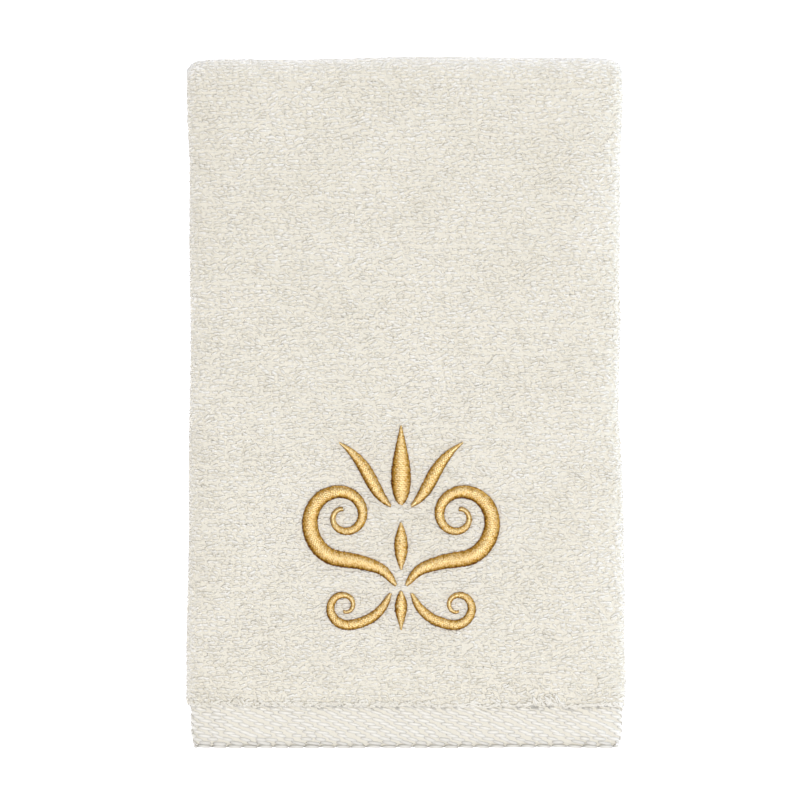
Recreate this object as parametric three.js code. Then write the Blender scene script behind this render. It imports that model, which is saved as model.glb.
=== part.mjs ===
// Fingertip towel of ivory cotton terry, folded for display, with a satin-stitch ornament on its face.
// Millimetres, +Z up. It lies on z = 0 with its face up, the hems towards -Y and the fold towards +Y.
import * as THREE from 'three';

// The folded panel: a towel of 11 by 18 inches, its long sides turned in to the middle, then doubled
const INCH = 25.4;
const PANEL_WIDTH = 5.5 * INCH;
const PANEL_LENGTH = 224.3;
const PILE_LAYER = 3.6;
const PILE_PITCH = 4.2;
const HEM_LAYER = 2.6;
const HEM_PITCH = 3.2;
const STACK = 3 * PILE_PITCH + PILE_LAYER;
const FOLD_RADIUS = STACK / 2;
const FLAP_SLIT = 3;
const FLAP_CORNER = 0.8;

// How finely the folded section and the fold are stepped
const FACE_STEPS = 12;
const SIDE_STEPS = 6;
const FLAP_STEPS = 3;
const INNER_BEND_STEPS = 2;
const INNER_FACE_STEPS = 4;
const FOLD_STEPS = 8;

// How uneven the folded cloth is
const FACE_SWELL = 0.3;
const TOP_EDGE_WAVE = 0.6;
const HEM_EDGE_ARCH = 0.8;
const EDGE_REACH = 45;

// The stitched ornament, measured from the middle of the panel
const ORNAMENT_X = -1.6;
const ORNAMENT_Y = -40.3;
const STITCH_CLEARANCE = 0.3;
const STITCH_RISE = 0.5;
const STITCH_RISE_PER_WIDTH = 0.1;
const STITCH_DOME_STEPS = 5;

const TERRY = { color: 0xebe6d8, roughness: 0.95, metalness: 0 };
const GOLD_THREAD = { color: 0xd9a552, roughness: 0.45, metalness: 0 };

// The front panel, from the hem's end up to the fold. up is the distance from the hem's end, left and
// right are how far each edge stands out past the panel's half width, layer is one layer's thickness,
// pitch the step to the next layer, and sink the depth of the face below the tips of the pile.
const FRONT_ROWS = [
  { up: 0.0, left: -3.4, right: -3.0, layer: 1.1, pitch: HEM_PITCH, sink: 3.5 },
  { up: 0.5, left: -2.0, right: -1.7, layer: 2.0, pitch: HEM_PITCH, sink: 3.0 },
  { up: 1.5, left: -1.0, right: -0.6, layer: HEM_LAYER, pitch: HEM_PITCH, sink: 2.6 },
  { up: 4.0, left: -0.4, right: 0.1, layer: HEM_LAYER, pitch: HEM_PITCH, sink: 2.4 },
  { up: 8.5, left: -0.3, right: 0.2, layer: HEM_LAYER, pitch: HEM_PITCH, sink: 2.1 },
  { up: 13.3, left: -0.3, right: 0.2, layer: HEM_LAYER, pitch: HEM_PITCH, sink: 1.9 },
  { up: 14.1, left: 0.6, right: 0.8, layer: 3.0, pitch: 4.0, sink: 0.8 },
  { up: 16.0, left: 1.1, right: 1.2, layer: PILE_LAYER, pitch: PILE_PITCH, sink: 0.1 },
  { up: 22, left: 1.0, right: 1.4, layer: PILE_LAYER, pitch: PILE_PITCH, sink: 0 },
  { up: 35, left: 1.0, right: 0.7, layer: PILE_LAYER, pitch: PILE_PITCH, sink: 0 },
  { up: 48, left: 0.7, right: 0.9, layer: PILE_LAYER, pitch: PILE_PITCH, sink: 0 },
  { up: 61, left: 0.3, right: 0.7, layer: PILE_LAYER, pitch: PILE_PITCH, sink: 0 },
  { up: 74, left: 0.2, right: 0.6, layer: PILE_LAYER, pitch: PILE_PITCH, sink: 0 },
  { up: 87, left: 0.3, right: 0.2, layer: PILE_LAYER, pitch: PILE_PITCH, sink: 0 },
  { up: 100, left: 0.2, right: -0.6, layer: PILE_LAYER, pitch: PILE_PITCH, sink: 0 },
  { up: 113, left: 0.0, right: -1.3, layer: PILE_LAYER, pitch: PILE_PITCH, sink: 0 },
  { up: 126, left: -0.3, right: -0.8, layer: PILE_LAYER, pitch: PILE_PITCH, sink: 0 },
  { up: 139, left: -0.3, right: -0.4, layer: PILE_LAYER, pitch: PILE_PITCH, sink: 0 },
  { up: 152, left: -0.1, right: -0.9, layer: PILE_LAYER, pitch: PILE_PITCH, sink: 0 },
  { up: 165, left: 0.1, right: -0.8, layer: PILE_LAYER, pitch: PILE_PITCH, sink: 0 },
  { up: 178, left: 0.0, right: -0.4, layer: PILE_LAYER, pitch: PILE_PITCH, sink: 0 },
  { up: 191, left: 0.0, right: -0.6, layer: PILE_LAYER, pitch: PILE_PITCH, sink: 0 },
  { up: 204, left: 0.7, right: 0.0, layer: PILE_LAYER, pitch: PILE_PITCH, sink: 0 },
  { up: PANEL_LENGTH - FOLD_RADIUS, left: 1.0, right: 0.3, layer: PILE_LAYER, pitch: PILE_PITCH, sink: 0 },
];

// The back panel, from the fold down to its hem, which ends a little short of the front one
const BACK_ROWS = [
  { up: PANEL_LENGTH - FOLD_RADIUS, left: 0.9, right: 0.2, layer: PILE_LAYER, pitch: PILE_PITCH, sink: 0 },
  { up: 196, left: -0.2, right: -0.8, layer: PILE_LAYER, pitch: PILE_PITCH, sink: 0 },
  { up: 170, left: -0.8, right: -1.6, layer: PILE_LAYER, pitch: PILE_PITCH, sink: 0 },
  { up: 144, left: -0.9, right: -1.8, layer: PILE_LAYER, pitch: PILE_PITCH, sink: 0 },
  { up: 118, left: -0.6, right: -2.1, layer: PILE_LAYER, pitch: PILE_PITCH, sink: 0 },
  { up: 92, left: -1.0, right: -0.9, layer: PILE_LAYER, pitch: PILE_PITCH, sink: 0 },
  { up: 66, left: -0.7, right: -0.4, layer: PILE_LAYER, pitch: PILE_PITCH, sink: 0 },
  { up: 40, left: -0.3, right: -0.2, layer: PILE_LAYER, pitch: PILE_PITCH, sink: 0 },
  { up: 18.2, left: 0.0, right: 0.2, layer: PILE_LAYER, pitch: PILE_PITCH, sink: 0 },
  { up: 15.8, left: -0.4, right: -0.2, layer: 3.0, pitch: 4.0, sink: 0 },
  { up: 14.9, left: -1.4, right: -1.2, layer: HEM_LAYER, pitch: HEM_PITCH, sink: 0 },
  { up: 6.0, left: -1.5, right: -1.3, layer: HEM_LAYER, pitch: HEM_PITCH, sink: 0 },
  { up: 2.7, left: -2.2, right: -1.9, layer: HEM_LAYER, pitch: HEM_PITCH, sink: 0 },
  { up: 1.7, left: -3.2, right: -2.9, layer: 2.0, pitch: HEM_PITCH, sink: 0.3 },
  { up: 1.2, left: -4.6, right: -4.2, layer: 1.1, pitch: HEM_PITCH, sink: 0.8 },
];

function between(start, end, steps, point) {
  return Array.from({ length: steps + 1 }, (_, i) => point(start + ((end - start) * i) / steps));
}

// The face of the front panel swells and dips gently between the folds
function swell(x, up) {
  const along = Math.sin((up / PANEL_LENGTH) * 7.5 + x / 47);
  const across = Math.sin(x / 19 - up / 61);
  return FACE_SWELL * (0.6 * along + 0.4 * across);
}

// One long side turned under: round the outside of the bend, along under the flap to its free edge,
// round that, and back over the flap to the inside of the bend
function turnedSide(side, edge, row) {
  const outer = (row.layer + row.pitch) / 2;
  const inner = (row.pitch - row.layer) / 2;
  const bendX = edge - side * outer;
  const bendN = -row.sink - outer;
  const flapX = side * (FLAP_SLIT / 2 + FLAP_CORNER);
  const under = bendN - outer;
  const over = bendN - inner;
  const round = (radius) => (angle) => {
    return [bendX + side * radius * Math.cos(angle), bendN + radius * Math.sin(angle)];
  };
  return [
    ...between(Math.PI / 2, -Math.PI / 2, SIDE_STEPS, round(outer)),
    ...between(bendX, flapX, FLAP_STEPS, (x) => [x, under]).slice(1),
    [flapX - side * FLAP_CORNER, under + 0.3 * row.layer],
    [flapX - side * FLAP_CORNER, under + 0.7 * row.layer],
    ...between(flapX, bendX, FLAP_STEPS, (x) => [x, over]),
    ...between(-Math.PI / 2, Math.PI / 2, INNER_BEND_STEPS, round(inner)).slice(1),
  ];
}

// The section across a panel, as points of x and n, where n is the height above the tips of the pile
function section(row, lift) {
  const left = turnedSide(-1, -PANEL_WIDTH / 2 - row.left, row);
  const right = turnedSide(1, PANEL_WIDTH / 2 + row.right, row);
  const face = between(left[0][0], right[0][0], FACE_STEPS, (x) => [x, lift(x) - row.sink]);
  const innerLeft = left.at(-1);
  const innerRight = right.at(-1);
  const lining = between(innerRight[0], innerLeft[0], INNER_FACE_STEPS, (x) => [x, innerRight[1]]);
  return [...face, ...right.slice(1), ...lining.slice(1, -1), ...left.slice(1).reverse()];
}

// The free edges of the panel aren't straight: the fold waves, and the hems arch
function edgeShift(x, up) {
  const top = TOP_EDGE_WAVE * (Math.sin(x / 13 + 1) * 0.5 + Math.sin(x / 31) * 0.5);
  const bottom = HEM_EDGE_ARCH * Math.cos((x / PANEL_WIDTH) * Math.PI);
  const nearTop = THREE.MathUtils.smoothstep(up, PANEL_LENGTH - EDGE_REACH, PANEL_LENGTH);
  const nearHem = 1 - THREE.MathUtils.smoothstep(up, 0, EDGE_REACH);
  return top * nearTop + bottom * nearHem;
}

function placed(x, up, z) {
  return [x, up + edgeShift(x, up) - PANEL_LENGTH / 2, z];
}

// The skin over a row of rings that all have the same number of points
function loft(rings) {
  const count = rings[0].length;
  const faces = [];
  for (let i = 0; i + 1 < rings.length; i += 1) {
    for (let j = 0; j < count; j += 1) {
      const next = (j + 1) % count;
      const [a, b] = [i * count + j, i * count + next];
      faces.push(a, b, b + count, a, b + count, a + count);
    }
  }
  return { positions: rings.flat(2), faces };
}

// Flat ends on the skin, from the outline of its section
function closeEnds({ positions, faces }, outline, count, ringCount) {
  const points = outline.map(([x, y]) => new THREE.Vector2(x, y));
  const clockwise = THREE.ShapeUtils.isClockWise(points);
  const last = (ringCount - 1) * count;
  for (const cap of THREE.ShapeUtils.triangulateShape(points, [])) {
    const [a, b, c] = clockwise ? cap : [...cap].reverse();
    faces.push(a, b, c, last + c, last + b, last + a);
  }
  const geometry = new THREE.BufferGeometry();
  geometry.setAttribute('position', new THREE.Float32BufferAttribute(positions, 3));
  geometry.setIndex(faces);
  geometry.computeVertexNormals();
  return geometry;
}

// A closed skin's volume, which is negative when its faces point in
function volumeOf(geometry) {
  const place = geometry.getAttribute('position');
  const index = geometry.getIndex();
  const corner = [0, 1, 2].map(() => new THREE.Vector3());
  let volume = 0;
  for (let i = 0; i < index.count; i += 3) {
    corner.forEach((point, k) => point.fromBufferAttribute(place, index.getX(i + k)));
    volume += corner[0].dot(corner[1].clone().cross(corner[2])) / 6;
  }
  return volume;
}

function solidMesh(name, rings, outline, finish) {
  const geometry = closeEnds(loft(rings), outline, rings[0].length, rings.length);
  if (volumeOf(geometry) < 0) {
    const index = Array.from(geometry.getIndex().array);
    geometry.setIndex(index.reverse());
  }
  const mesh = new THREE.Mesh(geometry, new THREE.MeshStandardMaterial(finish));
  mesh.name = name;
  return mesh;
}

// The towel: the turned-in section carried up the front panel, round the fold and down the back one
function towel() {
  const frontRings = FRONT_ROWS.map((row) =>
    section(row, (x) => swell(x, row.up)).map(([x, n]) => placed(x, row.up, STACK + n)));
  const foldUp = PANEL_LENGTH - FOLD_RADIUS;
  const foldRings = between(0, Math.PI, FOLD_STEPS, (angle) => {
    const turned = angle / Math.PI;
    const row = { ...FRONT_ROWS.at(-1) };
    row.left += turned * (BACK_ROWS[0].left - row.left);
    row.right += turned * (BACK_ROWS[0].right - row.right);
    return section(row, (x) => swell(x, foldUp) * (1 - turned)).map(([x, n]) => {
      const radius = FOLD_RADIUS + n;
      return placed(x, foldUp + radius * Math.sin(angle), FOLD_RADIUS + radius * Math.cos(angle));
    });
  }).slice(1, -1);
  const backRings = BACK_ROWS.map((row) => section(row, () => 0).map(([x, n]) => placed(x, row.up, -n)));
  const outline = section(FRONT_ROWS[0], () => 0);
  return solidMesh('towel', [...frontRings, ...foldRings, ...backRings], outline, TERRY);
}

// A satin-stitched line: a dome of thread over a plan curve. width gives its width from the curve's
// start (0) to its end (1), and side is -1 for a mirrored copy.
function satinLine({ name, curve, width, steps, side = 1 }) {
  const outline = between(Math.PI, 0, STITCH_DOME_STEPS, (angle) => [Math.cos(angle), Math.sin(angle)]);
  const rings = between(0, 1, steps, (t) => {
    const point = curve.getPointAt(t);
    const tangent = curve.getTangentAt(t);
    const full = width(t);
    const rise = STITCH_RISE + STITCH_RISE_PER_WIDTH * full;
    return outline.map(([across, up]) => {
      const x = ORNAMENT_X + side * (point.x + (across * full * tangent.y) / 2);
      const y = ORNAMENT_Y + point.y - (across * full * tangent.x) / 2;
      const face = STACK + swell(x, y + PANEL_LENGTH / 2);
      return [x, y, face + STITCH_CLEARANCE + up * rise];
    });
  });
  return solidMesh(name, rings, outline, GOLD_THREAD);
}

// Width that swells from a fine start to its full width and runs out to a fine end
function leafWidth(full, start, end, fullness) {
  return (t) => {
    const base = start + (end - start) * t;
    return base + (full - base) * Math.sin(Math.PI * t ** fullness);
  };
}

function vertical(low, high) {
  return new THREE.LineCurve3(new THREE.Vector3(0, low, 0), new THREE.Vector3(0, high, 0));
}

function swept(...points) {
  const [a, b, c, d] = points.map(([x, y]) => new THREE.Vector3(x, y, 0));
  return new THREE.CubicBezierCurve3(a, b, c, d);
}

// A scroll: a sweeping lead-in, then a spiral that closes on its eye
function scrollCurve({ leadIn, eye, firstAngle, turn, outer, inner, steps }) {
  const spiral = between(0, 1, steps, (t) => {
    const angle = firstAngle + turn * t;
    const radius = outer * (inner / outer) ** t;
    return new THREE.Vector3(eye[0] + radius * Math.cos(angle), eye[1] + radius * Math.sin(angle), 0);
  });
  const lead = leadIn.map(([x, y]) => new THREE.Vector3(x, y, 0));
  return new THREE.CatmullRomCurve3([...lead, ...spiral]);
}

// The ornament: a bud, a bead and a drop on the middle line, between mirrored leaves and scrolls
const MIDDLE_LINES = [
  { name: 'stitched_bud', curve: vertical(7.5, 33), width: leafWidth(6.8, 1.0, 0.7, 0.62), steps: 14 },
  { name: 'stitched_bead', curve: vertical(-13.5, 1.5), width: leafWidth(4.8, 0.9, 0.9, 1), steps: 10 },
  { name: 'stitched_drop', curve: vertical(-33, -20.5), width: leafWidth(4.4, 0.8, 0.9, 1.3), steps: 10 },
];
const MIRRORED_LINES = [
  {
    name: 'stitched_scroll',
    curve: scrollCurve({
      leadIn: [[1.7, -18.6], [5.9, -13.9], [12.6, -11.4]],
      eye: [18.6, 3.4],
      firstAngle: -1.2,
      turn: 9.0,
      outer: 13.4,
      inner: 2.6,
      steps: 20,
    }),
    width: leafWidth(5.6, 1.1, 1.7, 0.62),
    steps: 44,
  },
  {
    name: 'stitched_leaf',
    curve: swept([3.4, 7.0], [10.5, 12.5], [9.5, 20.5], [20.0, 27.5]),
    width: leafWidth(4.6, 1.0, 0.7, 0.8),
    steps: 14,
  },
  {
    name: 'stitched_curl',
    curve: scrollCurve({
      leadIn: [[3.4, -21.4], [6.2, -26.2], [10.6, -29.8]],
      eye: [18.2, -25.4],
      firstAngle: -1.7,
      turn: 6.6,
      outer: 6.3,
      inner: 1.9,
      steps: 14,
    }),
    width: leafWidth(3.7, 0.9, 1.3, 0.62),
    steps: 30,
  },
];

function ornament() {
  const pairs = MIRRORED_LINES.flatMap((line) => [
    satinLine({ ...line, name: `${line.name}_left`, side: -1 }),
    satinLine({ ...line, name: `${line.name}_right`, side: 1 }),
  ]);
  return [...MIDDLE_LINES.map((line) => satinLine(line)), ...pairs];
}

// The origin is under the middle of the folded towel, on the surface that it lies on
const group = new THREE.Group();
group.add(towel(), ...ornament());
const box = new THREE.Box3().setFromObject(group);
group.position.set(-(box.min.x + box.max.x) / 2, -(box.min.y + box.max.y) / 2, -box.min.z);

export default group;
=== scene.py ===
import math

import bpy
import numpy as np
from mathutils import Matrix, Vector
from mathutils.bvhtree import BVHTree
from mathutils.kdtree import KDTree


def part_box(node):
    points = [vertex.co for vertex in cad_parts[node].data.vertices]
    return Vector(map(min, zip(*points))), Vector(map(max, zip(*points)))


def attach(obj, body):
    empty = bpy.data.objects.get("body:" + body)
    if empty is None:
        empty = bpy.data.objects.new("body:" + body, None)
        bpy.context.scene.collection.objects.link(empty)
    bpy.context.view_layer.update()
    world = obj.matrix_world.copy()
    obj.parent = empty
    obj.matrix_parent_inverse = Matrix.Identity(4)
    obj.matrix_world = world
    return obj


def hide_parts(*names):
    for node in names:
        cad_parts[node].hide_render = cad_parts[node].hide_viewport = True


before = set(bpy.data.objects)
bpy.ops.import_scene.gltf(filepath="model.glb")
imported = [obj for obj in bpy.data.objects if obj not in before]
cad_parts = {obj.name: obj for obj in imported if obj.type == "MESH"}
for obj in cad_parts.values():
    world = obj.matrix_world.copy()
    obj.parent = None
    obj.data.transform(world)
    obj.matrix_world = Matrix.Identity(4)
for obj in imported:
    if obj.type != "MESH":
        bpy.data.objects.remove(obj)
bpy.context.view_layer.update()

# The folded cloth: one cut length of terry, its long sides turned under to the middle of the back and
# the length then doubled. Its ground is a thin woven sheet, which the pile and the hem are laid on.
# The sheet follows the folds of the towel's solid, whose edges and face are read off along straight lines.
MM = 0.001
STACK = 16.2 * MM
FOLD_RADIUS = STACK / 2
SIDE_RADIUS = 3.9 * MM
HEM_REACH = 13.8 * MM
SLIT = 1.4 * MM
PILE_DEPTH = 0.7 * MM
GROUND_THICKNESS = 0.8 * MM
HEM_THICKNESS = 2.1 * MM
HEM_INSET = 0.6 * MM
HEM_START = 0.35 * MM
EDGE_REACH = 45 * MM
BACK_HEM_END = 1.2 * MM
ROLL = 11 * MM
ROLL_DROP = 0.8 * MM
FRONT_HEM_DEPTH = 4.05 * MM
BACK_SIDE_HEIGHT = 3.2 * MM
PUFF = 0.3 * MM
PILE_STAND = 0.75 * MM
HEM_STAND = 0.8 * MM
FOLD_STAND = 0.4 * MM

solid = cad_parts["towel"].data
solid_tree = BVHTree.FromPolygons([v.co for v in solid.vertices], [p.vertices for p in solid.polygons])
low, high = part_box("towel")


def reach(start, direction):
    """Where a straight line first meets the towel's solid, or None."""
    return solid_tree.ray_cast(Vector(start), Vector(direction))[0]


across_lines = np.linspace(-64, 64, 33) * MM
top_line = np.array([reach((x, 1, FOLD_RADIUS), (0, -1, 0)).y for x in across_lines])
end_line = np.array([reach((x, -1, STACK - FRONT_HEM_DEPTH), (0, 1, 0)).y for x in across_lines])
hem_end, fold_top = end_line.mean(), top_line.mean()
FRONT = fold_top - hem_end - FOLD_RADIUS + FOLD_STAND
FOLD = math.pi * FOLD_RADIUS
WHOLE = 2 * FRONT + FOLD - BACK_HEM_END

# Three tables in millimetres, by the distance from the hem's end: how far the front hem droops under the
# tips of the pile, how thick the hem's edge is as a share of the hem, and how round the side fold is.
DROOP = [(0, 3.2), (0.5, 2.8), (1.5, 2.6), (4, 2.4), (8.5, 2.1)]
DROOP += [(13.3, 1.9), (13.9, 0.8), (14.7, 0.2), (17, 0)]
EDGE_SHARE = [(0, 0.1), (0.8, 0.15), (1.1, 0.6), (1.6, 0.9), (2.2, 1)]
ROUND = [(0, 2.6), (1.5, 2.9), (13.3, 2.9), (13.9, 3.5), (16, 3.9)]


def table(rows, at):
    """The value of a two-column table in millimetres at a length in metres, in metres."""
    return np.interp(at, *(np.array(rows).T * MM))


def panel_edges(height):
    """For lines across one panel at this height: distance from the hem's end, left edge, right edge."""
    ups = np.concatenate([np.array([1.3, 2.5, 4, 8, 13, 14.5, 16, 19, 24]) * MM, np.arange(32, 214, 6) * MM])
    found = []
    for up in ups:
        y = hem_end + up
        left = min(reach((-1, y, height + dz), (1, 0, 0)).x for dz in (-MM, 0, MM))
        right = max(reach((1, y, height + dz), (-1, 0, 0)).x for dz in (-MM, 0, MM))
        found.append((up, left, right))
    return np.array(found)


front_edges = panel_edges(STACK - SIDE_RADIUS)
back_edges = panel_edges(BACK_SIDE_HEIGHT)[::-1]
edge_knots = np.concatenate([front_edges[:, 0], 2 * FRONT + FOLD - back_edges[:, 0]])
knots_up = np.minimum(edge_knots, 2 * FRONT + FOLD - edge_knots)
stand_out = np.interp(knots_up, [13 * MM, 15 * MM], [HEM_STAND, PILE_STAND])
left_edge = np.concatenate([front_edges[:, 1], back_edges[:, 1]]) - stand_out
right_edge = np.concatenate([front_edges[:, 2], back_edges[:, 2]]) + stand_out

# The height of the front face, on a grid of lines straight down
grid_x, grid_y = np.linspace(-66, 66, 34) * MM, np.linspace(-96, 104, 51) * MM
face_grid = np.array([[reach((x, y, 1), (0, 0, -1)).z - STACK for y in grid_y] for x in grid_x])


def face_swell(x, y):
    """How far the front face stands above or below its mean height."""
    i = np.clip((x - grid_x[0]) / (grid_x[1] - grid_x[0]), 0, len(grid_x) - 1.001)
    j = np.clip((y - grid_y[0]) / (grid_y[1] - grid_y[0]), 0, len(grid_y) - 1.001)
    a, b = i.astype(int), j.astype(int)
    u, v = i - a, j - b
    low_side = face_grid[a, b] * (1 - u) + face_grid[a + 1, b] * u
    high_side = face_grid[a, b + 1] * (1 - u) + face_grid[a + 1, b + 1] * u
    return low_side * (1 - v) + high_side * v


def smooth(x):
    x = np.clip(x, 0, 1)
    return x * x * (3 - 2 * x)


def up_panel(along):
    """How far a place lies up its own panel from the hem's end."""
    return np.minimum(np.where(along <= FRONT + FOLD / 2, along, 2 * FRONT + FOLD - along), FRONT)


def side_folds(along):
    """The radius of the side folds, and how far across the left and the right one begin."""
    radius = table(ROUND, up_panel(along))
    left = np.interp(along, edge_knots, left_edge) + radius
    return radius, left, np.interp(along, edge_knots, right_edge) - radius


def on_towel(along, across, depth=0.0):
    """Points of the towel. along runs up the front panel from its hem, over the fold and down the back
    panel. across runs over the face from the middle line, round the side folds and under the flaps.
    depth is how far a point lies inside the towel's skin. The face rolls off towards the side folds."""
    along, across, depth = np.broadcast_arrays(*(np.asarray(v, float) for v in (along, across, depth)))
    turned = np.clip((along - FRONT) / FOLD_RADIUS, 0, math.pi)
    up = up_panel(along)
    on_front = along <= FRONT + FOLD / 2
    radius, left, right = side_folds(along)
    side = np.where(across < 0, -1.0, 1.0)
    edge = np.where(across < 0, left, right)
    past = side * (across - edge)
    bend = np.clip(past / radius, 0, math.pi)
    under = np.maximum(past - math.pi * radius, 0)
    reach_out = np.where(past > 0, side * np.sin(bend), 0)
    face_out = np.cos(bend)
    x = np.where(past > 0, edge + side * (radius * np.sin(bend) - under), across) - depth * reach_out
    n = np.where(past > 0, radius * (face_out - 1), 0) - depth * face_out
    roll = ROLL_DROP * np.clip(1 + past / ROLL, 0, 1) ** 2 + 2 * ROLL_DROP / ROLL * radius * reach_out * side
    n = n - roll * (1 + face_out) / 2
    n = n - np.where(on_front, table(DROOP, up), 0)
    shift = np.interp(x, across_lines, top_line - fold_top) * smooth((up - FRONT + EDGE_REACH) / EDGE_REACH)
    shift = shift + np.interp(x, across_lines, end_line - hem_end) * (1 - smooth(up / EDGE_REACH))
    y = hem_end + up + shift
    swell = face_swell(x, y) * np.clip(-past / (6 * MM), 0, 1) * smooth((up - 16 * MM) / (6 * MM))
    n = n + swell * (1 - turned / math.pi)
    out = FOLD_RADIUS + n
    return np.stack([x, y + out * np.sin(turned), FOLD_RADIUS + out * np.cos(turned)], -1)


def bent(along, across):
    """1 where the cloth faces sideways, on its folds, and 0 where it lies flat."""
    out = on_towel(along, across, -MM) - on_towel(along, across)
    return smooth(np.hypot(out[..., 0], out[..., 1]) / np.linalg.norm(out, axis=-1))


def side_span(along):
    """How far across runs to the left and to the right before the flaps' free edges."""
    radius, left, right = side_folds(along)
    return left - math.pi * radius + left + SLIT / 2, right + math.pi * radius + right - SLIT / 2


def mesh_piece(name, points, faces, uv=None, painted_light_share=None):
    """A mesh object from arrays of points and of faces that all have the same number of corners. The last
    array gives each point its share of painted light, 1 on top of the yarn and 0 where shade is painted in."""
    mesh = bpy.data.meshes.new(name)
    corners = faces.shape[1]
    mesh.vertices.add(len(points))
    mesh.vertices.foreach_set("co", points.astype(np.float32).ravel())
    mesh.loops.add(faces.size)
    mesh.loops.foreach_set("vertex_index", faces.astype(np.int32).ravel())
    mesh.polygons.add(len(faces))
    mesh.polygons.foreach_set("loop_start", np.arange(len(faces), dtype=np.int32) * corners)
    mesh.polygons.foreach_set("use_smooth", np.ones(len(faces), bool))
    if uv is not None:
        layer = mesh.uv_layers.new(name="OFBake")
        layer.uv.foreach_set("vector", uv[faces.ravel()].astype(np.float32).ravel())
    if painted_light_share is not None:
        layer = mesh.attributes.new("painted_light_share", "FLOAT", "POINT")
        layer.data.foreach_set("value", painted_light_share.astype(np.float32))
    mesh.update(calc_edges=True)
    mesh.validate()
    piece = bpy.data.objects.new(name, mesh)
    bpy.context.scene.collection.objects.link(piece)
    return piece


def grid_faces(rows, columns, wrap=False):
    """Quads over a grid of points stored row by row."""
    row = np.arange(rows - 1)[:, None] * columns
    column = np.arange(columns if wrap else columns - 1)[None, :]
    after = (column + 1) % columns
    corners = [row + column, row + after, row + columns + after, row + columns + column]
    return np.stack(corners, -1).reshape(-1, 4)


def ground_cloth():
    hem_rows = np.array([0.35, 0.7, 1.1, 1.3, 1.5, 1.8, 2.2, 2.8, 4, 6, 8, 10, 12]) * MM
    step_rows = np.array([13.3, 13.9, 14.7, 17, 19]) * MM
    front = np.concatenate([hem_rows, step_rows, np.linspace(23 * MM, FRONT, 44)])
    bend = np.linspace(FRONT, FRONT + FOLD, 15)[1:-1]
    back = 2 * FRONT + FOLD - front[::-1]
    along = np.concatenate([front, bend, back[back < WHOLE - HEM_START], [WHOLE - HEM_START]])
    up = up_panel(along)
    end = np.where(along <= FRONT, 0, BACK_HEM_END) + HEM_START
    slim = table(EDGE_SHARE, up - end) / MM
    hem = 1 - smooth((up - HEM_REACH) / MM)
    middle = hem * (HEM_INSET + HEM_THICKNESS / 2) + (1 - hem) * (PILE_DEPTH + GROUND_THICKNESS / 2)
    thick = hem * HEM_THICKNESS * slim + (1 - hem) * GROUND_THICKNESS
    share = np.linspace(-1, 1, 121)
    lefts, rights = side_span(along)
    across = np.where(share < 0, -share * lefts[:, None], share * rights[:, None])
    full = PUFF * bent(along[:, None], across) * (1 - hem)[:, None]
    outer = on_towel(along[:, None], across, (middle - thick / 2)[:, None] - full)
    inner = on_towel(along[:, None], across, (middle + thick / 2)[:, None])
    ring = np.concatenate([outer, inner[:, ::-1]], 1)
    rows, columns = ring.shape[:2]
    faces = grid_faces(rows, columns, wrap=True)
    half = columns // 2
    cap = np.arange(half - 1)
    first = np.stack([cap + 1, cap, columns - 1 - cap, columns - 2 - cap], -1)
    last = first[:, ::-1] + (rows - 1) * columns
    return mesh_piece("ground_cloth", ring.reshape(-1, 3), np.concatenate([faces, first, last])[:, ::-1])


ground = ground_cloth()

# The cotton: soft ivory yarn with a faint unevenness of tint from patch to patch, and painted shade, darker
# and warmer, down between the yarns. The ground and the pile have one tone of it, the flat-woven hem
# another.


def new_material(name):
    material = bpy.data.materials.new(name)
    material.use_nodes = True
    return material, material.node_tree.nodes["Principled BSDF"], material.node_tree


def node_group(name, inputs, outputs):
    """An empty shader node group with its sockets. Returns the tree, its input node and its output node."""
    group = bpy.data.node_groups.new(name, "ShaderNodeTree")
    for label, kind, value in inputs:
        socket = group.interface.new_socket(label, in_out="INPUT", socket_type=kind)
        socket.default_value = value
    for label, kind in outputs:
        group.interface.new_socket(label, in_out="OUTPUT", socket_type=kind)
    return group, group.nodes.new("NodeGroupInput"), group.nodes.new("NodeGroupOutput")


def noise(tree, scale, detail=2.0, stretch=None):
    """A noise texture over the object's own coordinates; scale is in turns per metre."""
    place = tree.nodes.new("ShaderNodeTexCoord")
    texture = tree.nodes.new("ShaderNodeTexNoise")
    texture.inputs["Scale"].default_value = scale
    texture.inputs["Detail"].default_value = detail
    source = place.outputs["Object"]
    if stretch:
        mapping = tree.nodes.new("ShaderNodeMapping")
        mapping.inputs["Scale"].default_value = stretch
        tree.links.new(source, mapping.inputs["Vector"])
        source = mapping.outputs["Vector"]
    tree.links.new(source, texture.inputs["Vector"])
    return texture.outputs["Fac"]


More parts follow.
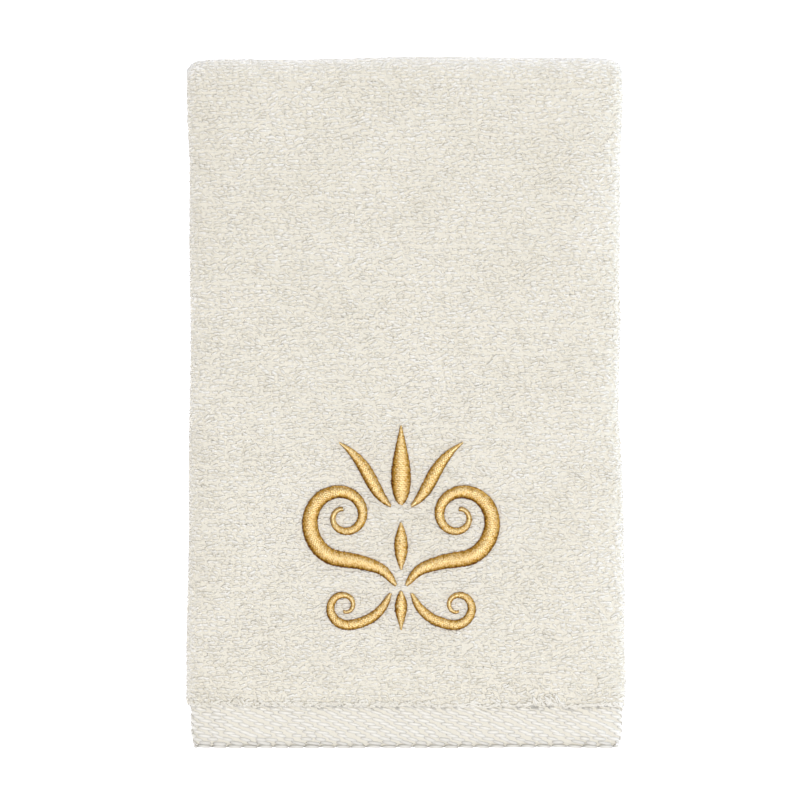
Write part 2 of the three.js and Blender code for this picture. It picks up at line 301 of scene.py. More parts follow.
def fibre_group():
    """Cotton fibres: a mottled tint between two colours, which goes over to a third, painted shade colour as
    each point's share of painted light falls away, and a fine uneven height."""
    colour, number = "NodeSocketColor", "NodeSocketFloat"
    group, given, out = node_group(
        "cotton_fibres",
        [("Light Colour", colour, (1, 1, 1, 1)), ("Dark Colour", colour, (0.5, 0.5, 0.5, 1)),
         ("Grain", number, 0.6), ("Shade Colour", colour, (0.4, 0.4, 0.4, 1))],
        [("Colour", colour), ("Height", number)])
    fine = noise(group, 2400, 2.0, (0.6, 1, 1))
    broad = noise(group, 110, 3.0, (0.7, 1, 1))
    island = group.nodes.new("ShaderNodeNewGeometry")
    ranged = group.nodes.new("ShaderNodeMapRange")
    ranged.inputs["From Min"].default_value = 0.3
    ranged.inputs["From Max"].default_value = 0.68
    group.links.new(fine, ranged.inputs["Value"])
    patches = group.nodes.new("ShaderNodeMapRange")
    patches.inputs["From Min"].default_value = 0.35
    patches.inputs["From Max"].default_value = 0.62
    group.links.new(broad, patches.inputs["Value"])
    blend = group.nodes.new("ShaderNodeMix")
    blend.data_type = "FLOAT"
    group.links.new(given.outputs["Grain"], blend.inputs["Factor"])
    group.links.new(patches.outputs["Result"], blend.inputs["A"])
    group.links.new(ranged.outputs["Result"], blend.inputs["B"])
    vary = group.nodes.new("ShaderNodeMath")
    vary.operation = "MULTIPLY_ADD"
    vary.inputs[1].default_value = 0.1
    group.links.new(island.outputs["Random Per Island"], vary.inputs[0])
    group.links.new(blend.outputs["Result"], vary.inputs[2])
    colours = group.nodes.new("ShaderNodeMix")
    colours.data_type = "RGBA"
    group.links.new(vary.outputs["Value"], colours.inputs["Factor"])
    group.links.new(given.outputs["Dark Colour"], colours.inputs["A"])
    group.links.new(given.outputs["Light Colour"], colours.inputs["B"])
    # Painted shade: the shade colour is mixed in by each point's share of painted light.
    painted_light_share = group.nodes.new("ShaderNodeAttribute")
    painted_light_share.attribute_name = "painted_light_share"
    shaded = group.nodes.new("ShaderNodeMix")
    shaded.data_type = "RGBA"
    group.links.new(painted_light_share.outputs["Fac"], shaded.inputs["Factor"])
    group.links.new(given.outputs["Shade Colour"], shaded.inputs["A"])
    group.links.new(colours.outputs["Result"], shaded.inputs["B"])
    group.links.new(shaded.outputs["Result"], out.inputs["Colour"])
    group.links.new(ranged.outputs["Result"], out.inputs["Height"])
    return group


fibres = fibre_group()


def cotton(name, light, dark, shade, grain, bump):
    material, shader, tree = new_material(name)
    cloth = tree.nodes.new("ShaderNodeGroup")
    cloth.node_tree = fibres
    cloth.inputs["Light Colour"].default_value = (*light, 1)
    cloth.inputs["Dark Colour"].default_value = (*dark, 1)
    cloth.inputs["Shade Colour"].default_value = (*shade, 1)
    cloth.inputs["Grain"].default_value = grain
    tree.links.new(cloth.outputs["Colour"], shader.inputs["Base Color"])
    relief = tree.nodes.new("ShaderNodeBump")
    relief.inputs["Distance"].default_value = bump
    tree.links.new(cloth.outputs["Height"], relief.inputs["Height"])
    tree.links.new(relief.outputs["Normal"], shader.inputs["Normal"])
    shader.inputs["Roughness"].default_value = 0.95
    shader.inputs["Specular IOR Level"].default_value = 0.15
    shader.inputs["Sheen Weight"].default_value = 0.15
    shader.inputs["Sheen Roughness"].default_value = 0.5
    return material


flat_ivory = cotton("ivory_flat_weave", light=(0.985, 0.96, 0.905), dark=(0.95, 0.92, 0.86),
                    shade=(0.46, 0.442, 0.405), grain=0.5, bump=0.06 * MM)
ivory = cotton("ivory_cotton", light=(0.98, 0.957, 0.912), dark=(0.905, 0.872, 0.802),
               shade=(0.86, 0.822, 0.73), grain=0.3, bump=0.12 * MM)
# The ground has no share of painted light, so it is painted in the shade colour all over: painted shade.
ground.data.materials.append(ivory)
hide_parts("towel")
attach(ground, "root")

# The ornament's plan, needed by the pile, which lies pressed under its stitches.
# Each line is a curve over the face, with its width from start to end.
bud_low, bud_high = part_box("stitched_bud")
BUD_START = 7.5 * MM
ORNAMENT = ((bud_low.x + bud_high.x) / 2, bud_low.y - BUD_START)


def leaf_width(full, start, end, fullness):
    """Width that swells from a fine start to its full width and runs out to a fine end."""
    def width(share):
        base = start + (end - start) * share
        return (base + (full - base) * np.sin(math.pi * share ** fullness)) * MM
    return width


def straight(low, high):
    return np.stack([np.zeros(60), np.linspace(low, high, 60)], -1) * MM


def bezier(a, b, c, d):
    a, b, c, d = (np.array(p, float) for p in (a, b, c, d))
    u = np.linspace(0, 1, 160)[:, None]
    return ((1 - u) ** 3 * a + 3 * (1 - u) ** 2 * u * b + 3 * (1 - u) * u ** 2 * c + u ** 3 * d) * MM


def scroll(lead_in, eye, first_angle, turn, outer, inner, steps):
    """A sweeping lead-in, then a spiral that closes on its eye, as one smooth curve."""
    u = np.linspace(0, 1, steps + 1)
    angle, radius = first_angle + turn * u, outer * (inner / outer) ** u
    spiral = np.stack([eye[0] + radius * np.cos(angle), eye[1] + radius * np.sin(angle)], -1)
    points = np.concatenate([np.array(lead_in, float), spiral])
    points = np.concatenate([[2 * points[0] - points[1]], points, [2 * points[-1] - points[-2]]])
    knots = np.concatenate([[0], np.cumsum(np.linalg.norm(np.diff(points, axis=0), axis=1) ** 0.5)])
    curve = []
    for i in range(1, len(points) - 2):
        k0, k1, k2, k3 = knots[i - 1:i + 3]
        p0, p1, p2, p3 = points[i - 1:i + 3]
        k = np.linspace(k1, k2, 16, endpoint=False)[:, None]
        a1 = ((k1 - k) * p0 + (k - k0) * p1) / (k1 - k0)
        a2 = ((k2 - k) * p1 + (k - k1) * p2) / (k2 - k1)
        a3 = ((k3 - k) * p2 + (k - k2) * p3) / (k3 - k2)
        b1 = ((k2 - k) * a1 + (k - k0) * a2) / (k2 - k0)
        b2 = ((k3 - k) * a2 + (k - k1) * a3) / (k3 - k1)
        curve.append(((k2 - k) * b1 + (k - k1) * b2) / (k2 - k1))
    return np.concatenate(curve + [points[-2:-1]]) * MM


SCROLL = scroll([(1.7, -18.6), (5.9, -13.9), (12.6, -11.4)], (18.6, 3.4), -1.2, 9.0, 13.4, 2.6, 20)
LEAF = bezier((3.4, 7.0), (10.5, 12.5), (9.5, 20.5), (20.0, 27.5))
CURL = scroll([(3.4, -21.4), (6.2, -26.2), (10.6, -29.8)], (18.2, -25.4), -1.7, 6.6, 6.3, 1.9, 14)
LINES = [
    ("stitched_bud", straight(7.5, 33), leaf_width(6.8, 1.0, 0.7, 0.62), 1),
    ("stitched_bead", straight(-13.5, 1.5), leaf_width(4.8, 0.9, 0.9, 1), 1),
    ("stitched_drop", straight(-33, -20.5), leaf_width(4.4, 0.8, 0.9, 1.3), 1),
]
for side_name, side in (("left", -1), ("right", 1)):
    LINES.append((f"stitched_scroll_{side_name}", SCROLL, leaf_width(5.6, 1.1, 1.7, 0.62), side))
    LINES.append((f"stitched_leaf_{side_name}", LEAF, leaf_width(4.6, 1.0, 0.7, 0.8), side))
    LINES.append((f"stitched_curl_{side_name}", CURL, leaf_width(3.7, 0.9, 1.3, 0.62), side))


def along_line(curve, side, at):
    """Points on a line, their left normals and the line's length, for distances from its start."""
    steps = np.linalg.norm(np.diff(curve, axis=0), axis=1)
    far = np.concatenate([[0], np.cumsum(steps)])
    at = np.clip(at, 0, far[-1])
    x = np.interp(at, far, curve[:, 0])
    y = np.interp(at, far, curve[:, 1])
    slope_x = np.interp(at, far, np.gradient(curve[:, 0], far))
    slope_y = np.interp(at, far, np.gradient(curve[:, 1], far))
    size = np.hypot(slope_x, slope_y)
    return ORNAMENT[0] + side * x, ORNAMENT[1] + y, -side * slope_y / size, slope_x / size, far[-1]


stitch_tree = KDTree(len(LINES) * 200)
stitch_reach = []
for name, curve, width, side in LINES:
    length = along_line(curve, side, np.zeros(1))[4]
    x, y, _, _, _ = along_line(curve, side, np.linspace(0, length, 200))
    for i in range(200):
        stitch_tree.insert((x[i], y[i], 0), len(stitch_reach))
        stitch_reach.append(width(i / 199) / 2)
stitch_tree.balance()


def room_beside_stitches(x, y):
    """How far points of the face lie from the nearest stitched edge; below zero under the stitches."""
    room = np.full(len(x), 1.0)
    near = (np.abs(x - ORNAMENT[0]) < 40 * MM) & (np.abs(y - ORNAMENT[1]) < 42 * MM)
    for i in np.nonzero(near)[0]:
        found = stitch_tree.find_n((x[i], y[i], 0), 4)
        room[i] = min(distance - stitch_reach[index] for _, index, distance in found)
    return room


# The pile: loops of soft cotton yarn, drawn up out of the ground in rows across the cloth. Each lies over
# as a plump curved tuft, every second row deeper than its neighbours, with finer curls of yarn between.
TUFT_RADIUS = 0.5 * MM
TUFT_FLAT = 1.0
TUFT_PITCH = 2.4 * MM
ROW_PITCH = 0.86 * MM
CURL_RADIUS = 0.22 * MM
CURL_PITCH = 1.9 * MM
CURL_ROW = 1.0 * MM
LEVELS = np.array([-0.2, 0.3]) * MM
LEAN = -0.4
FRONT_PARTS = 3


def drift(a, b, wavelength, seed):
    """A smooth random field of about -1 to 1 over two lengths."""
    waves = np.random.default_rng(seed)
    total = 0
    for _ in range(7):
        angle, phase = waves.uniform(0, 2 * math.pi, 2)
        scale = waves.uniform(0.7, 1.6) * wavelength / (2 * math.pi)
        total = total + np.sin((a * math.cos(angle) + b * math.sin(angle)) / scale + phase)
    return total / 3.2


def tube_arrays(centres, radius, up, sides=3, flat=1.0):
    """Closed tubes of yarn, each running out to a point at both ends. centres is tube by point, up the
    direction in which flat squeezes the section. Returns points, triangles, a cell of UV for each tube, and
    each point's share of painted light by how far up the yarn it lies, for painting shade in underneath."""
    count, steps = centres.shape[:2]
    along = np.gradient(centres, axis=1)
    along /= np.linalg.norm(along, axis=2, keepdims=True) + 1e-12
    up = up - (up * along).sum(2, keepdims=True) * along
    up /= np.linalg.norm(up, axis=2, keepdims=True) + 1e-12
    wide = np.cross(along, up)
    angle = np.arange(sides) * 2 * math.pi / sides
    ring = centres[:, 1:-1, None] + radius[:, 1:-1, None, None] * (
        up[:, 1:-1, None] * np.cos(angle)[:, None] * flat + wide[:, 1:-1, None] * np.sin(angle)[:, None])
    rings = steps - 2
    each = rings * sides + 2
    points = np.concatenate([ring.reshape(count, -1, 3), centres[:, :1], centres[:, -1:]], 1)
    body = grid_faces(rings, sides, wrap=True)
    around = np.arange(sides)
    after = (around + 1) % sides
    first = np.stack([np.full(sides, each - 2), after, around], -1)
    end_ring = (rings - 1) * sides
    last = np.stack([np.full(sides, each - 1), around + end_ring, after + end_ring], -1)
    body = np.concatenate([body[:, [0, 1, 2]], body[:, [0, 2, 3]], first, last])
    faces = (body[None] + (np.arange(count) * each)[:, None, None]).reshape(-1, 3)
    cells = math.ceil(math.sqrt(count))
    cell = np.stack([np.arange(count) % cells, np.arange(count) // cells], -1) / cells
    u = np.concatenate([np.repeat(np.linspace(0.1, 0.9, rings), sides), [0.05, 0.95]])
    v = np.concatenate([np.tile(np.linspace(0.15, 0.85, sides), rings), [0.5, 0.5]])
    uv = cell[:, None] + np.stack([u, v], -1)[None] / cells
    painted_light_share = np.concatenate([np.tile(0.5 + 0.5 * np.cos(angle), rings), [0.2, 0.2]])
    return points.reshape(-1, 3), faces, uv.reshape(-1, 2), np.tile(painted_light_share, (count, 1))


def strokes_at(along, across, half_length, turn, bow, depth, sink, radius):
    """Yarn that lies over the cloth: each stroke is centred on a point and bows sideways, and its ends sink
    in. Where the cloth bends, they lie more evenly. Returns the centre line, the direction out of the cloth
    and the radius at each of its points."""
    u = np.array([-1, -0.6, 0.6, 1])
    side = (1 - u ** 2) * bow[:, None]
    t = along[:, None] + u * (half_length * np.sin(turn))[:, None] - side * np.cos(turn)[:, None]
    s = across[:, None] + u * (half_length * np.cos(turn))[:, None] + side * np.sin(turn)[:, None]
    deep = depth[:, None] + sink[:, None] * u ** 2
    up = on_towel(t, s, np.full_like(t, -MM)) - on_towel(t, s)
    up = up - LEAN * (on_towel(t + MM, s) - on_towel(t, s))
    even = radius[:, None] + (deep - radius[:, None]) * (1 - 0.75 * bent(t, s))
    centres = on_towel(t, s, np.maximum(even, 0.85 * radius[:, None]))
    return centres, up, np.broadcast_to(radius[:, None], t.shape)


def cloth_places(start, stop, row_pitch, column_pitch, chance):
    """Places in staggered rows across the whole width of the cloth, with the number of each one's row."""
    alongs, acrosses, rows = [], [], []
    for i, row in enumerate(np.arange(start, stop, row_pitch)):
        left = -np.interp(row, edge_knots, left_edge) + (math.pi - 1) * SIDE_RADIUS + 2 * MM
        right = np.interp(row, edge_knots, right_edge) + (math.pi - 1) * SIDE_RADIUS + 2 * MM
        shift = ((i % 2) / 2 + chance.uniform(-0.25, 0.25)) * column_pitch
        columns = np.arange(-left, right, column_pitch) + shift
        alongs.append(np.full(len(columns), row))
        acrosses.append(columns)
        rows.append(np.full(len(columns), i))
    return np.concatenate(alongs), np.concatenate(acrosses), np.concatenate(rows)


def pile(name, start, stop, row_pitch, column_pitch, radius, sides, seed):
    """Tufts or curls between two lengths along the cloth, left out where the ornament covers them. Those
    that lie high, and those where the cloth bends, are painted lighter, deep ones painted with more shade."""
    chance = np.random.default_rng(seed)
    along, across, row = cloth_places(start, stop, row_pitch, column_pitch, chance)
    count = len(along)
    size = radius / TUFT_RADIUS
    along = along + chance.normal(0, 0.06, count) * size * MM + 0.5 * MM * drift(along, across, 25 * MM, 3)
    along = along + 0.35 * MM * drift(along, across, 6 * MM, 6)
    across = across + chance.normal(0, 0.22, count) * column_pitch
    turn = chance.normal(0, 0.22 / size, count) + 0.2 * drift(along, across, 9 * MM, 4)
    half_length = chance.uniform(0.9, 1.4, count) * size * MM
    bow = chance.normal(0.3, 0.3, count) * size * MM
    depth = radius + chance.normal(0, 0.07, count) * MM + LEVELS[row % 2]
    depth = depth + 0.08 * MM * drift(along, across, 9 * MM, 5)
    depth = depth + 0.2 * MM * drift(along * 3, across, 9 * MM, 15)
    sink = chance.uniform(0.2, 0.35, count) * size * MM
    thick = radius * chance.uniform(0.7, 1.15, count)
    middle = on_towel(along, across)
    keep = room_beside_stitches(middle[:, 0], middle[:, 1]) > -0.3 * MM
    keep |= middle[:, 2] < FOLD_RADIUS
    keep &= (along > start - MM) & (along < stop + MM)
    centres, up, thick = strokes_at(along[keep], across[keep], half_length[keep], turn[keep], bow[keep],
                                    depth[keep], sink[keep], thick[keep])
    points, faces, uv, painted_light_share = tube_arrays(centres, thick, up, sides, TUFT_FLAT)
    # Painted light and shade: deep tufts darker, tufts on the folds lighter, with random tone in patches.
    lit = chance.normal(0, 0.12, (keep.sum(), 1)) + (TUFT_RADIUS - depth[keep])[:, None] / MM - 0.25
    lit = lit + 0.25 * drift(along[keep] * 3, across[keep], 9 * MM, 15)[:, None]
    lit = lit + 0.15 * drift(along[keep], across[keep], 45 * MM, 22)[:, None]
    lit = lit + 0.2 * bent(along[keep], across[keep])[:, None]
    return mesh_piece(name, points, faces, uv, (painted_light_share + lit).ravel())


cloth_pieces = []
cuts = np.linspace(HEM_REACH + 0.6 * MM, FRONT + FOLD * 0.95, FRONT_PARTS + 1)
for i in range(FRONT_PARTS):
    low_cut, high_cut = cuts[i], cuts[i + 1]
    tufts = pile(f"pile_tufts_{i + 1}", low_cut, high_cut, ROW_PITCH, TUFT_PITCH, TUFT_RADIUS, 4, 100 + i)
    curls = pile(f"pile_curls_{i + 1}", low_cut, high_cut, CURL_ROW, CURL_PITCH, CURL_RADIUS, 3, 400 + i)
    cloth_pieces.extend([tufts, curls])
back_stop = 2 * FRONT + FOLD - HEM_REACH - 3 * MM
cloth_pieces.append(pile("pile_back", cuts[-1], back_stop, 1.15 * MM, 3 * MM, 0.55 * MM, 4, 200))

# The last row of loops, which falls unevenly over the line where the pile ends. Here and there, and most
# of all low on the right, it hangs in longer loose loops on the flat weave below.
LOOP_PITCH = 0.4 * MM
LOOP_RADIUS = 0.3 * MM
LOOP_SPAN = 74 * MM
TANGLE_AT = 46 * MM
TANGLE_WIDTH = 9 * MM
LOOP_DROP = [(10, 2.3), (12.2, 2.0), (13, 1.5), (14, 0.8), (15, 0.35), (16, 0.25)]


def pile_end(across):
    """How far from the hem's end the last loops of the pile reach down, which is uneven."""
    level = across * 0
    waves = 0.6 * MM * drift(across, level, 6 * MM, 301) + 0.4 * MM * drift(across, level, 2.5 * MM, 303)
    return HEM_REACH - 0.1 * MM - 0.006 * across + waves


def falling_loops(seed):
    chance = np.random.default_rng(seed)
    across = np.arange(-LOOP_SPAN, LOOP_SPAN, LOOP_PITCH)
    count = len(across)
    across = across + chance.normal(0, 0.4, count) * MM
    tangled = np.exp(-((across - TANGLE_AT) / TANGLE_WIDTH) ** 2)
    loose = smooth(1.6 * drift(across, across * 0, 16 * MM, seed) - 0.4 + 1.4 * tangled)
    loose = loose * (chance.random(count) < 0.8)
    length = (1.7 + 1.8 * loose) * MM * chance.uniform(0.8, 1.2, count)
    turn = chance.normal(0, 0.3, count) + loose * chance.normal(1.0, 0.3, count)
    middle = pile_end(across) + (0.5 + 1.0 * loose) * MM + np.abs(chance.normal(0, 0.35, count)) * MM
    u = np.linspace(-1, 1, 6)
    bow = (1 - u ** 2) * chance.normal(0.1, 0.25, (count, 1)) * MM
    half = length[:, None] / 2
    along = middle[:, None] - u * half * np.sin(turn)[:, None] - bow * np.cos(turn)[:, None]
    s = across[:, None] + u * half * np.cos(turn)[:, None] - bow * np.sin(turn)[:, None]
    drop = table(LOOP_DROP, along) - (1 - u ** 2) * chance.uniform(0, 0.35, (count, 1)) * MM
    drop = drop - 0.4 * MM * loose[:, None]
    depth = drop - table(DROOP, along)
    up = on_towel(along, s, depth * 0 - MM) - on_towel(along, s, depth * 0)
    centres = on_towel(along, s, depth + bent(along, s) * (np.maximum(depth, LOOP_RADIUS) - depth))
    radius = LOOP_RADIUS * chance.uniform(0.85, 1.2, (count, 1)) * np.ones_like(u)
    points, faces, uv, painted_light_share = tube_arrays(centres, radius, up, 5)
    # Painted shade: these loops are painted darker than the pile, more so on the left, less on the right.
    painted_light_share += chance.normal(-0.45, 0.2, (count, 1)) + 4 * across[:, None]
    return mesh_piece("falling_loops", points, faces, uv, painted_light_share.ravel())


cloth_pieces.append(falling_loops(300))

# The hem: the ends of the towel, woven flat without pile and turned under. Its weave shows as slanting
# lens-shaped floats in rows, each row half a step on from the last, with a rope of them along the edge.
FLOAT_PITCH = 5.02 * MM
FLOAT_ROW = 1.21 * MM
FLOAT_HALF = 2.3 * MM
FLOAT_RADIUS = 0.68 * MM
FLOAT_FLAT = 0.58
FIRST_ROW = 1.8 * MM
SIDE_TO_SIDE = 80 * MM
ROUND_THE_FLAPS = 136 * MM
FLAP_ROWS = 3
ROPE_AT = 0.5 * MM
ROPE_HALF = 2.6 * MM
ROPE_RADIUS = 0.64 * MM
ROPE_DEPTH = 0.8 * MM
NOSE_MIDDLE = HEM_INSET + HEM_THICKNESS / 2
NOSE_RADIUS = NOSE_MIDDLE - 0.1 * MM


def on_hem(reach_in, across, depth, back=False):
    """Points on the hem, by the distance from the line where its edge turns under."""
    turned = np.clip((NOSE_RADIUS - reach_in) / NOSE_RADIUS, 0, math.pi)
    out = NOSE_RADIUS - depth
    up = np.where(reach_in < NOSE_RADIUS, NOSE_RADIUS - out * np.sin(turned), reach_in)
    deep = NOSE_MIDDLE - out * np.cos(turned)
    along = 2 * FRONT + FOLD - BACK_HEM_END - up if back else up
    return on_towel(along, across, deep)


def floats(place, reach_in, across, half, turn, radius, depth, sink):
    """Slanting floats of yarn on the hem, full in the middle and running out to a point at both ends."""
    u = np.linspace(-1, 1, 9)
    r = reach_in[:, None] + u * (half * np.sin(turn))[:, None]
    s = across[:, None] + u * (half * np.cos(turn))[:, None]
    deep = depth[:, None] + sink * u ** 2
    thick = radius[:, None] * np.sqrt(1 - 0.86 * np.abs(u) ** 3)
    return place(r, s, deep), thick, place(r, s, deep * 0 - MM) - place(r, s, deep * 0)


def hem_weave(name, back, seed):
    """The floats and the rope of one hem, with painted shade: darkest at their ends, near the edge and down
    between the floats, and painted shadow in dashes right under the last loops of the pile, more so on the
    left."""
    chance = np.random.default_rng(seed)
    reach_in, across = [], []
    for i, row in enumerate(np.arange(FIRST_ROW, HEM_REACH + 0.2 * MM, FLOAT_ROW)):
        far = ROUND_THE_FLAPS if i < FLAP_ROWS else SIDE_TO_SIDE
        columns = np.arange(-far, far, FLOAT_PITCH) + (i % 2) * FLOAT_PITCH / 2
        reach_in.append(np.full(len(columns), row))
        across.append(columns)
    reach_in, across = np.concatenate(reach_in), np.concatenate(across)
    count = len(reach_in)
    reach_in = reach_in + 0.15 * MM * drift(reach_in, across, 20 * MM, seed)
    reach_in = reach_in + chance.normal(0, 0.1, count) * MM
    across = across + 0.3 * MM * drift(reach_in, across, 12 * MM, seed + 1)
    across = across + chance.normal(0, 0.3, count) * MM
    half = FLOAT_HALF * chance.uniform(0.8, 1.15, count)
    turn = chance.normal(-0.2, 0.07, count)
    radius = FLOAT_RADIUS * chance.uniform(0.8, 1.1, count)
    depth = radius * FLOAT_FLAT + chance.normal(0, 0.03, count) * MM

    def on_face(r, s, deep):
        return on_hem(r, s, deep, back)

    def on_edge(r, s, deep):
        return on_towel(2 * FRONT + FOLD - BACK_HEM_END - r if back else r, s, deep)

    woven = floats(on_face, reach_in, across, half, turn, radius, depth, 0.28 * MM)
    weave = tube_arrays(*woven, 6, FLOAT_FLAT)
    edge = np.arange(-ROUND_THE_FLAPS, ROUND_THE_FLAPS, FLOAT_PITCH)
    count = len(edge)
    turn = chance.normal(-0.05, 0.02, count)
    half = np.full(count, ROPE_HALF)
    radius = ROPE_RADIUS * chance.uniform(0.92, 1.08, count)
    at = ROPE_AT + chance.normal(0, 0.05, count) * MM
    depth = np.full(count, ROPE_DEPTH)
    rope = tube_arrays(*floats(on_edge, at, edge, half, turn, radius, depth, 0.3 * MM), 6, 0.95)
    points = np.concatenate([weave[0], rope[0]])
    faces = np.concatenate([weave[1], rope[1] + len(weave[0])])
    full = np.concatenate([np.repeat(1 - np.linspace(-1, 1, 9)[1:-1] ** 2, 6), [0, 0]])
    x, y = weave[0][:, 0], weave[0][:, 1]
    # Painted shadow right under the pile's last loops, in broken dashes, stronger on the left.
    beyond = pile_end(x) - (y - hem_end - 0.77 * np.interp(x, across_lines, end_line - hem_end))
    dashes = np.clip(0.85 - 3 * x + 0.7 * drift(x, x * 0, 3.5 * MM, seed + 2), 0, 1)
    lit = 1 - dashes * (1 - smooth((beyond - 0.35 * MM) / (0.55 * MM)))
    # Painted shade towards the hem's end, where it rounds under.
    lit = lit * (0.6 + 0.4 * smooth(np.repeat(reach_in, len(full)) / (5 * MM)))
    # Painted shade down the sides and at the ends of each float.
    bright = (weave[3] ** 1.5 * (0.55 + 0.45 * full)).ravel() * lit
    uv = np.concatenate([weave[2] * (1, 0.9), rope[2] * (1, 0.09) + (0, 0.905)])
    # The rope is painted mostly in the shade colour, darkest at the ends of its floats: painted shade.
    painted_light_share = np.concatenate([bright, (rope[3] * (0.05 + 0.7 * full)).ravel()])
    return mesh_piece(name, points, faces, uv, painted_light_share)


cloth_pieces.append(hem_weave("hem_weave_front", False, 31))
cloth_pieces.append(hem_weave("hem_weave_back", True, 32))
for piece in cloth_pieces:
    piece.data.materials.append(flat_ivory if piece.name.startswith("hem") else ivory)
    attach(piece, "root")

# The ornament: satin stitches of gold rayon thread over an underlay, in nine separate lines. The threads
# lie side by side across each line at a slant, and dive through the pile at its edges.
THREAD_RADIUS = 0.28 * MM
THREAD_FLAT = 0.42
THREAD_PITCH = 0.4 * MM
SLANT = math.tan(math.radians(18))
CLEARANCE = 0.3 * MM
STITCH_LENGTH = 2.3 * MM
PAINTED_SHADE_SIDE = (-0.55, -0.83)


def satin(name, curve, width, side, seed):
    """The stitches of one line over a low padded core. Each point gets a measure of how far out from the
    middle of the line it lies, 1 at its edge, which paints shade in towards the edges, more on the lower
    left."""
    chance = np.random.default_rng(seed)
    length = along_line(curve, side, np.zeros(1))[4]
    places = np.arange(0.1 * MM, length, THREAD_PITCH)
    start, end, place = [], [], []
    for i, at in enumerate(places):
        parts = math.ceil(width(at / length) / STITCH_LENGTH)
        breaks = -1 + 2 * (np.arange(1, parts) + (0.382 * i) % 1 - 0.5) / parts
        breaks = [-1, *breaks[np.abs(breaks) < 0.8], 1]
        for a, b in zip(breaks[:-1], breaks[1:]):
            start.append(a)
            end.append(b)
            place.append(at)
    start, end, place = np.array(start), np.array(end), np.array(place)
    count = len(start)
    u = np.array([0, 0.06, 0.2, 0.5, 0.8, 0.94, 1])
    over = start[:, None] + (end - start)[:, None] * u
    over = over * (1 + chance.normal(0, 0.03, count)[:, None])
    wide = width(place / length)[:, None]
    at = place[:, None] + over * wide / 2 * SLANT + chance.normal(0, 0.02, (count, 1)) * MM
    x, y, nx, ny, _ = along_line(curve, side, at)
    wide = width(np.clip(at / length, 0.002, 0.998))
    x = x + nx * over * (wide / 2 - THREAD_RADIUS * 0.5)
    y = y + ny * over * (wide / 2 - THREAD_RADIUS * 0.5)
    rise = 0.5 * MM + 0.1 * wide
    lift = CLEARANCE + rise * np.sqrt(np.clip(1 - over ** 2, 0, 1)) - THREAD_RADIUS * THREAD_FLAT
    lift = lift + chance.normal(0, 0.05, (count, 1)) * MM
    dive = np.zeros_like(lift)
    outer_start = start == -1
    outer_end = end == 1
    dive[:, 0] = np.where(outer_start, 1.0, 0.45) * MM
    dive[:, 1] = np.where(outer_start, 0.35, 0.1) * MM
    dive[:, -1] = np.where(outer_end, 1.0, 0.45) * MM
    dive[:, -2] = np.where(outer_end, 0.35, 0.1) * MM
    z = STACK + face_swell(x, y) + lift - dive
    centres = np.stack([x, y, z], -1)
    up = np.stack([nx * over * 0.5, ny * over * 0.5, np.ones_like(x)], -1)
    radius = np.full(x.shape, THREAD_RADIUS) * chance.uniform(0.93, 1.07, (count, 1))
    points, faces, uv, _ = tube_arrays(centres, radius, up, 6, THREAD_FLAT)
    # Painted shade, a little stronger on the lower left side of each line.
    darker = np.sign(over) * (PAINTED_SHADE_SIDE[0] * nx + PAINTED_SHADE_SIDE[1] * ny)
    painted_edge_shade = np.clip(np.abs(over), 0, 1) ** 2 * (1 + 0.22 * darker)
    between = np.repeat(painted_edge_shade[:, 1:-1], 6, axis=1)
    painted_edge_shade = np.concatenate([between, painted_edge_shade[:, :1], painted_edge_shade[:, -1:]], 1).ravel()
    fill_at = np.linspace(0, length, max(12, int(length / MM)))
    fx, fy, fnx, fny, _ = along_line(curve, side, fill_at)
    fw = width(np.clip(fill_at / length, 0.002, 0.998))
    angle = np.array([math.pi, 0.78 * math.pi, math.pi / 2, 0.22 * math.pi, 0])
    across = np.cos(angle)[None] * (fw[:, None] / 2 - 0.2 * MM)
    px, py = fx[:, None] + fnx[:, None] * across, fy[:, None] + fny[:, None] * across
    rise = (0.5 * MM + 0.1 * fw)[:, None]
    top = CLEARANCE + rise * np.sin(angle)[None] - 1.7 * THREAD_RADIUS * THREAD_FLAT
    pz = STACK + face_swell(px, py) + top
    pz[:, [0, -1]] -= 0.6 * MM
    fill = np.stack([px, py, pz], -1)
    rows = len(fill)
    body = grid_faces(rows, 5, wrap=True)
    caps = np.array([[0, 1, 2], [0, 2, 3], [0, 3, 4]])
    sides = np.concatenate([body[:, [0, 1, 2]], body[:, [0, 2, 3]]])
    fill_faces = np.concatenate([sides, caps[:, ::-1], caps + (rows - 1) * 5])
    faces = np.concatenate([faces, fill_faces + len(points)])
    uv = np.concatenate([uv * 0.9, np.full((fill.size // 3, 2), 0.95)])
    painted_edge_shade = np.concatenate([painted_edge_shade, np.tile(np.abs(np.cos(angle)), rows)])
    points = np.concatenate([points, fill.reshape(-1, 3)])
    piece = mesh_piece(name.replace("stitched", "satin"), points, faces, uv)
    layer = piece.data.attributes.new("painted_edge_shade", "FLOAT", "POINT")
    layer.data.foreach_set("value", painted_edge_shade.astype(np.float32))
    return piece


gold, shader, tree = new_material("gold_thread")
painted_edge_shade = tree.nodes.new("ShaderNodeAttribute")
painted_edge_shade.attribute_name = "painted_edge_shade"
uneven = tree.nodes.new("ShaderNodeMath")
uneven.operation = "MULTIPLY_ADD"
uneven.inputs[1].default_value = 1.0
stitch = tree.nodes.new("ShaderNodeNewGeometry")
speckle = tree.nodes.new("ShaderNodeMath")
speckle.operation = "MULTIPLY_ADD"
speckle.inputs[1].default_value = 0.25
tree.links.new(stitch.outputs["Random Per Island"], speckle.inputs[0])
tree.links.new(noise(tree, 1600, 1.0), speckle.inputs[2])
tree.links.new(speckle.outputs["Value"], uneven.inputs[0])
tree.links.new(painted_edge_shade.outputs["Fac"], uneven.inputs[2])
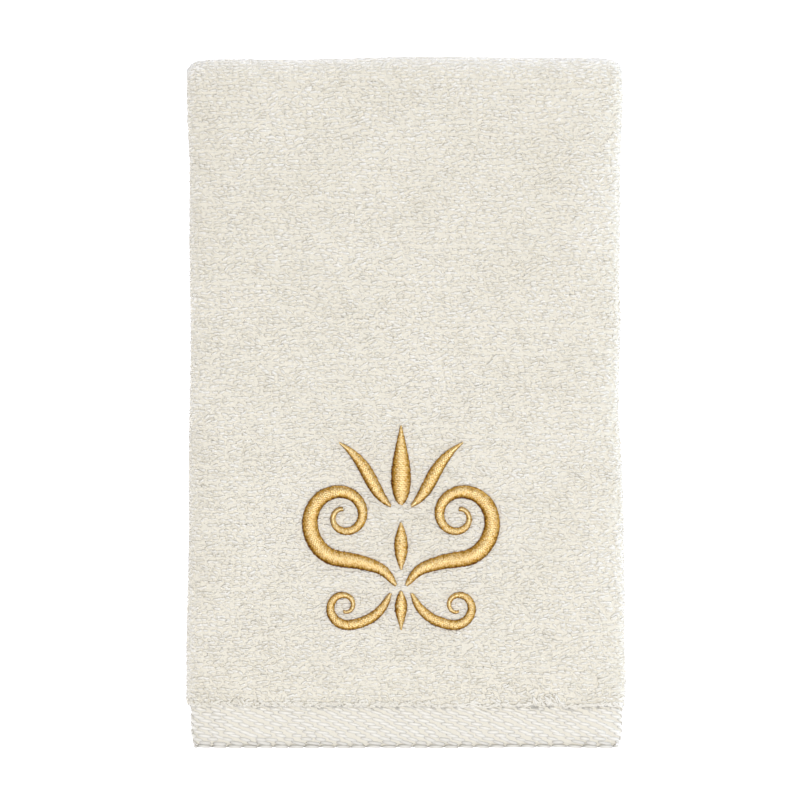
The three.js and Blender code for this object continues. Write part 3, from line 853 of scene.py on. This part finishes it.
# Painted shade: pale gold in the middle of each line, deep brown towards its edges.
shade = tree.nodes.new("ShaderNodeValToRGB")
shade.color_ramp.elements[0].position = 0.2
shade.color_ramp.elements[0].color = (0.94, 0.73, 0.375, 1)
shade.color_ramp.elements[1].position = 1.0
shade.color_ramp.elements[1].color = (0.2, 0.07, 0.003, 1)
middle_tone = shade.color_ramp.elements.new(0.6)
middle_tone.color = (0.7, 0.395, 0.072, 1)
spread = tree.nodes.new("ShaderNodeMath")
spread.operation = "MULTIPLY_ADD"
spread.inputs[1].default_value = 0.85
spread.inputs[2].default_value = -0.34
tree.links.new(uneven.outputs["Value"], spread.inputs[0])
tree.links.new(spread.outputs["Value"], shade.inputs["Fac"])
tree.links.new(shade.outputs["Color"], shader.inputs["Base Color"])
shader.inputs["Metallic"].default_value = 0.85
shader.inputs["Roughness"].default_value = 0.4
shader.inputs["Specular IOR Level"].default_value = 0.4
for i, (name, curve, width, side) in enumerate(LINES):
    piece = satin(name, curve, width, side, 50 + i)
    piece.data.materials.append(gold)
    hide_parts(name)
    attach(piece, "root")

# The white table that the towel lies on, the soft light of a window with two pale cards beside the towel,
# and the camera, which looks straight down on the folded face.
FLOOR_REACH = 3
corners = np.array([(-1, -1, 0), (1, -1, 0), (1, 1, 0), (-1, 1, 0)], float) * FLOOR_REACH
floor = mesh_piece("floor", corners, np.array([[0, 1, 2, 3]]))
white, shader, tree = new_material("white_table")
shader.inputs["Base Color"].default_value = (0.95, 0.95, 0.95, 1)
shader.inputs["Roughness"].default_value = 0.9
shader.inputs["Emission Color"].default_value = (0.87, 0.89, 1, 1)
shader.inputs["Emission Strength"].default_value = 1.16
floor.data.materials.append(white)

world = bpy.data.worlds.new("room")
bpy.context.scene.world = world
world.use_nodes = True
world.node_tree.nodes["Background"].inputs["Color"].default_value = (0.98, 0.98, 0.98, 1)
world.node_tree.nodes["Background"].inputs["Strength"].default_value = 0.4


def soft_light(name, place, size, power, colour=(1, 1, 1)):
    light = bpy.data.lights.new(name, "AREA")
    light.size = size
    light.energy = power
    light.color = colour
    lamp = bpy.data.objects.new(name, light)
    lamp.location = place
    lamp.rotation_euler = (-Vector(place)).to_track_quat("-Z", "Y").to_euler()
    bpy.context.scene.collection.objects.link(lamp)


soft_light("window", (0.12, -0.24, 1.37), 0.4, 12.6)
soft_light("right_card", (0.6, 0.1, 0.06), 0.14, 1.1, (0.6, 0.78, 1))
soft_light("top_card", (0, 0.7, 0.04), 0.1, 1.1, (0.8, 0.86, 1))

IMAGE_WIDTH = 0.2592
CAMERA_HEIGHT = 1.6
camera_data = bpy.data.cameras.new("camera")
camera_data.sensor_width = 36
camera_data.lens = 36 * (CAMERA_HEIGHT - STACK) / IMAGE_WIDTH
camera = bpy.data.objects.new("camera", camera_data)
camera.location = (-0.00209, 0.00077, CAMERA_HEIGHT)
bpy.context.scene.collection.objects.link(camera)
bpy.context.scene.camera = camera
bpy.context.scene.view_settings.view_transform = "Standard"
bpy.context.scene.cycles.diffuse_bounces = 8
bpy.context.scene.cycles.max_bounces = 10
